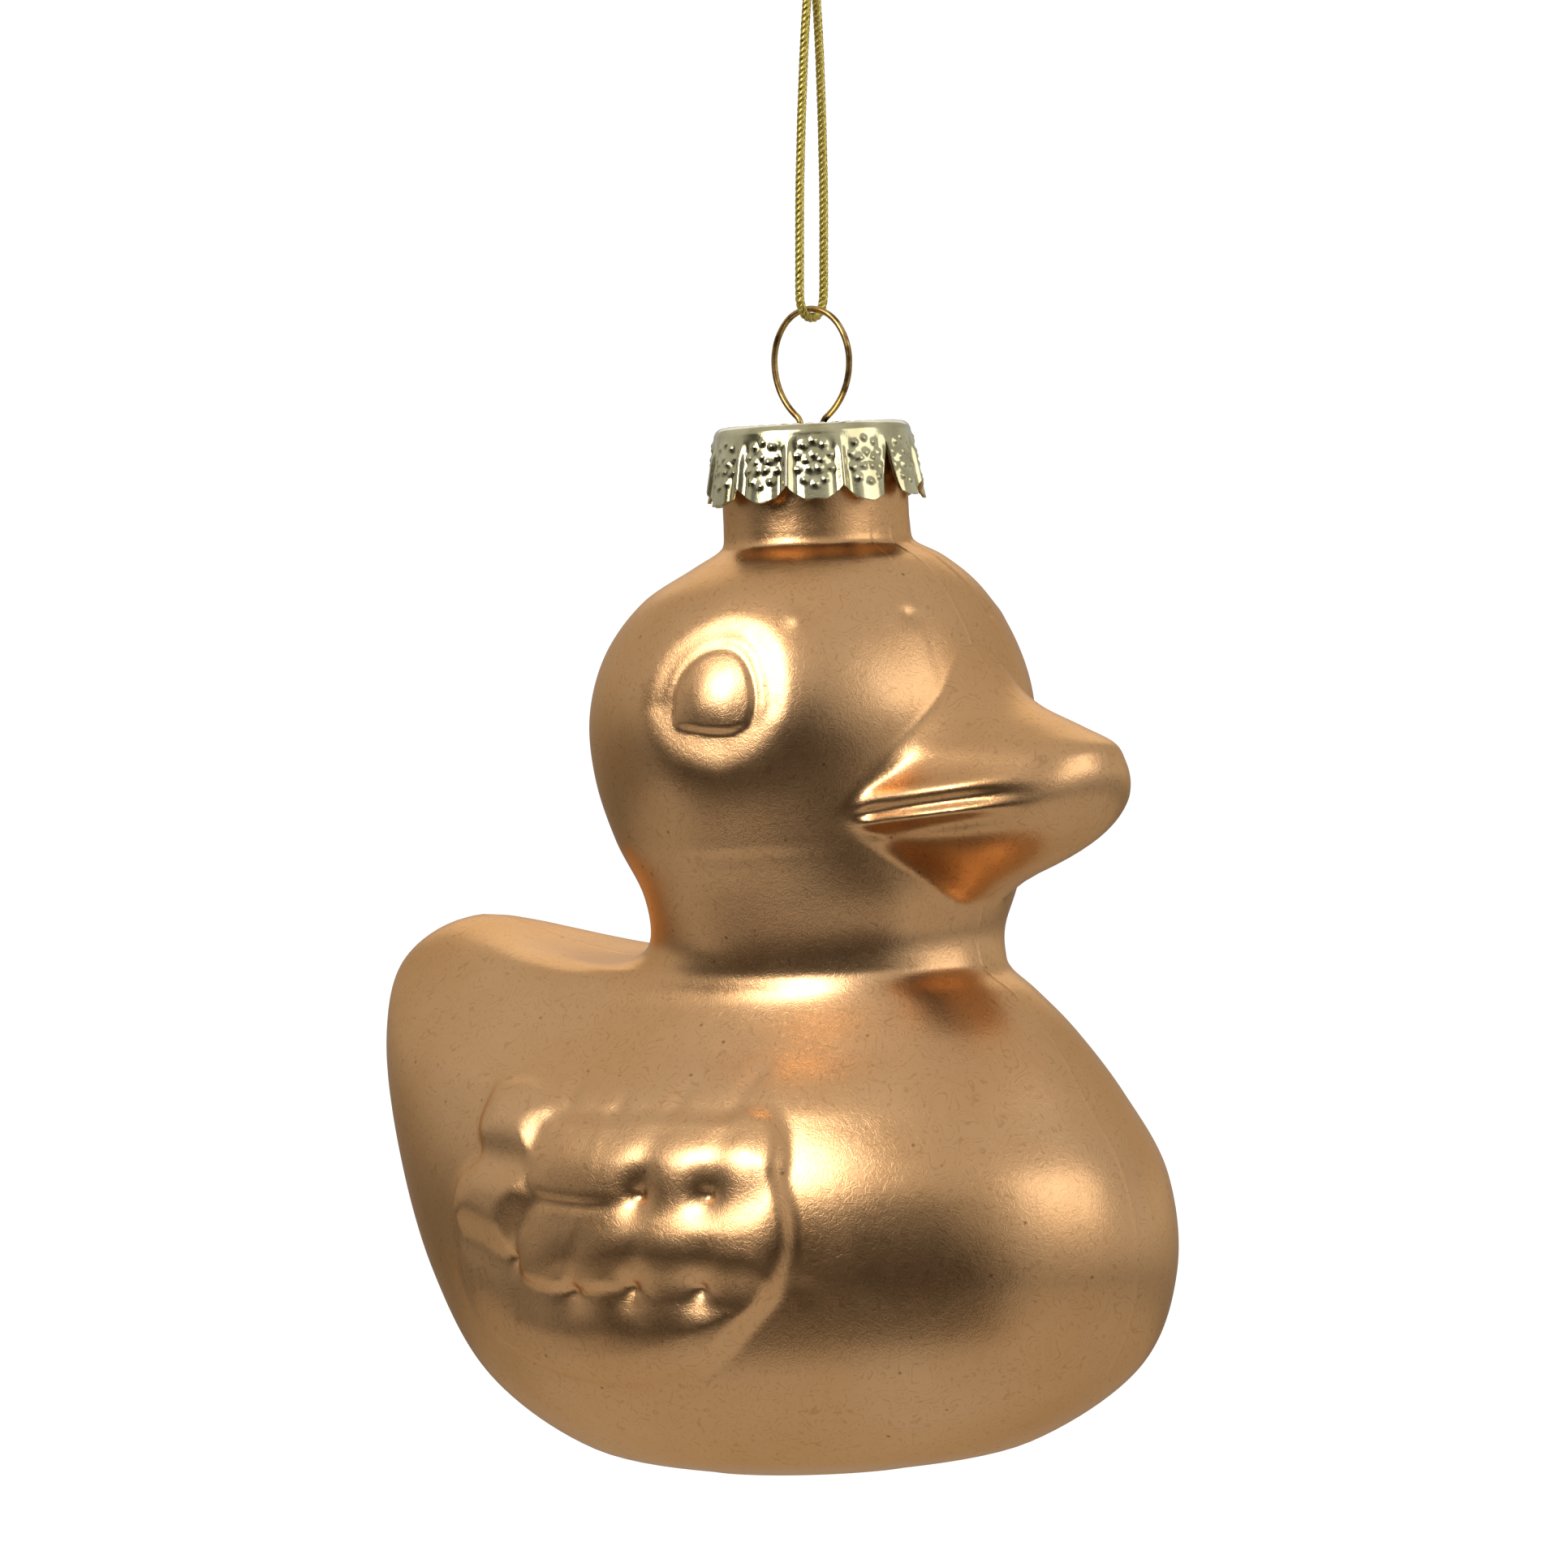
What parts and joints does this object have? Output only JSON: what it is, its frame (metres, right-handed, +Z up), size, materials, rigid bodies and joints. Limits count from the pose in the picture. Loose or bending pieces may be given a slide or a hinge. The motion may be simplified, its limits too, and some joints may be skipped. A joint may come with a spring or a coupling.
{
  "type": "hanging glass duck ornament",
  "caption": "Hollow blown-glass duck with a metal cap, a sprung wire eye and a cord loop to hang it by.",
  "frame": {"origin": "the hang point, under the knot of the cord loop", "axes": "+X to the duck's beak, +Y to its left side, +Z up as it hangs"},
  "size_m": [0.0795, 0.0532, 0.1362],
  "materials": {
    "lacquered_glass": "blown glass under an opaque matt copper-gold lacquer",
    "cap_metal": "bright stamped gold-tone sheet",
    "wire_metal": "drawn gold-tone spring wire",
    "cord_braid": "braided metallic gold thread"
  },
  "bodies": {
    "cord": {"hanging_cord": "cord_braid", "cord_knot": "cord_braid"},
    "hanger": {"wire_hanger": "wire_metal"},
    "cap": {"cap": "cap_metal"},
    "glass": {"glass_body": "lacquered_glass"}
  },
  "joints": [
    {"name": "hanger_swing", "type": "hinge", "parent": "cord", "child": "hanger", "pos_m": [0, 0, -0.02923], "axis": [1, 0, 0], "range_deg": [-90, 90]},
    {"name": "cap_swivel", "type": "hinge", "parent": "hanger", "child": "cap", "pos_m": [0, 0, -0.03915], "axis": [-0.061, 0, 0.9981], "continuous": true},
    {"name": "glass_pull", "type": "slide", "parent": "cap", "child": "glass", "axis": [0.061, 0, -0.9981], "range_m": [0, 0.02]}
  ]
}
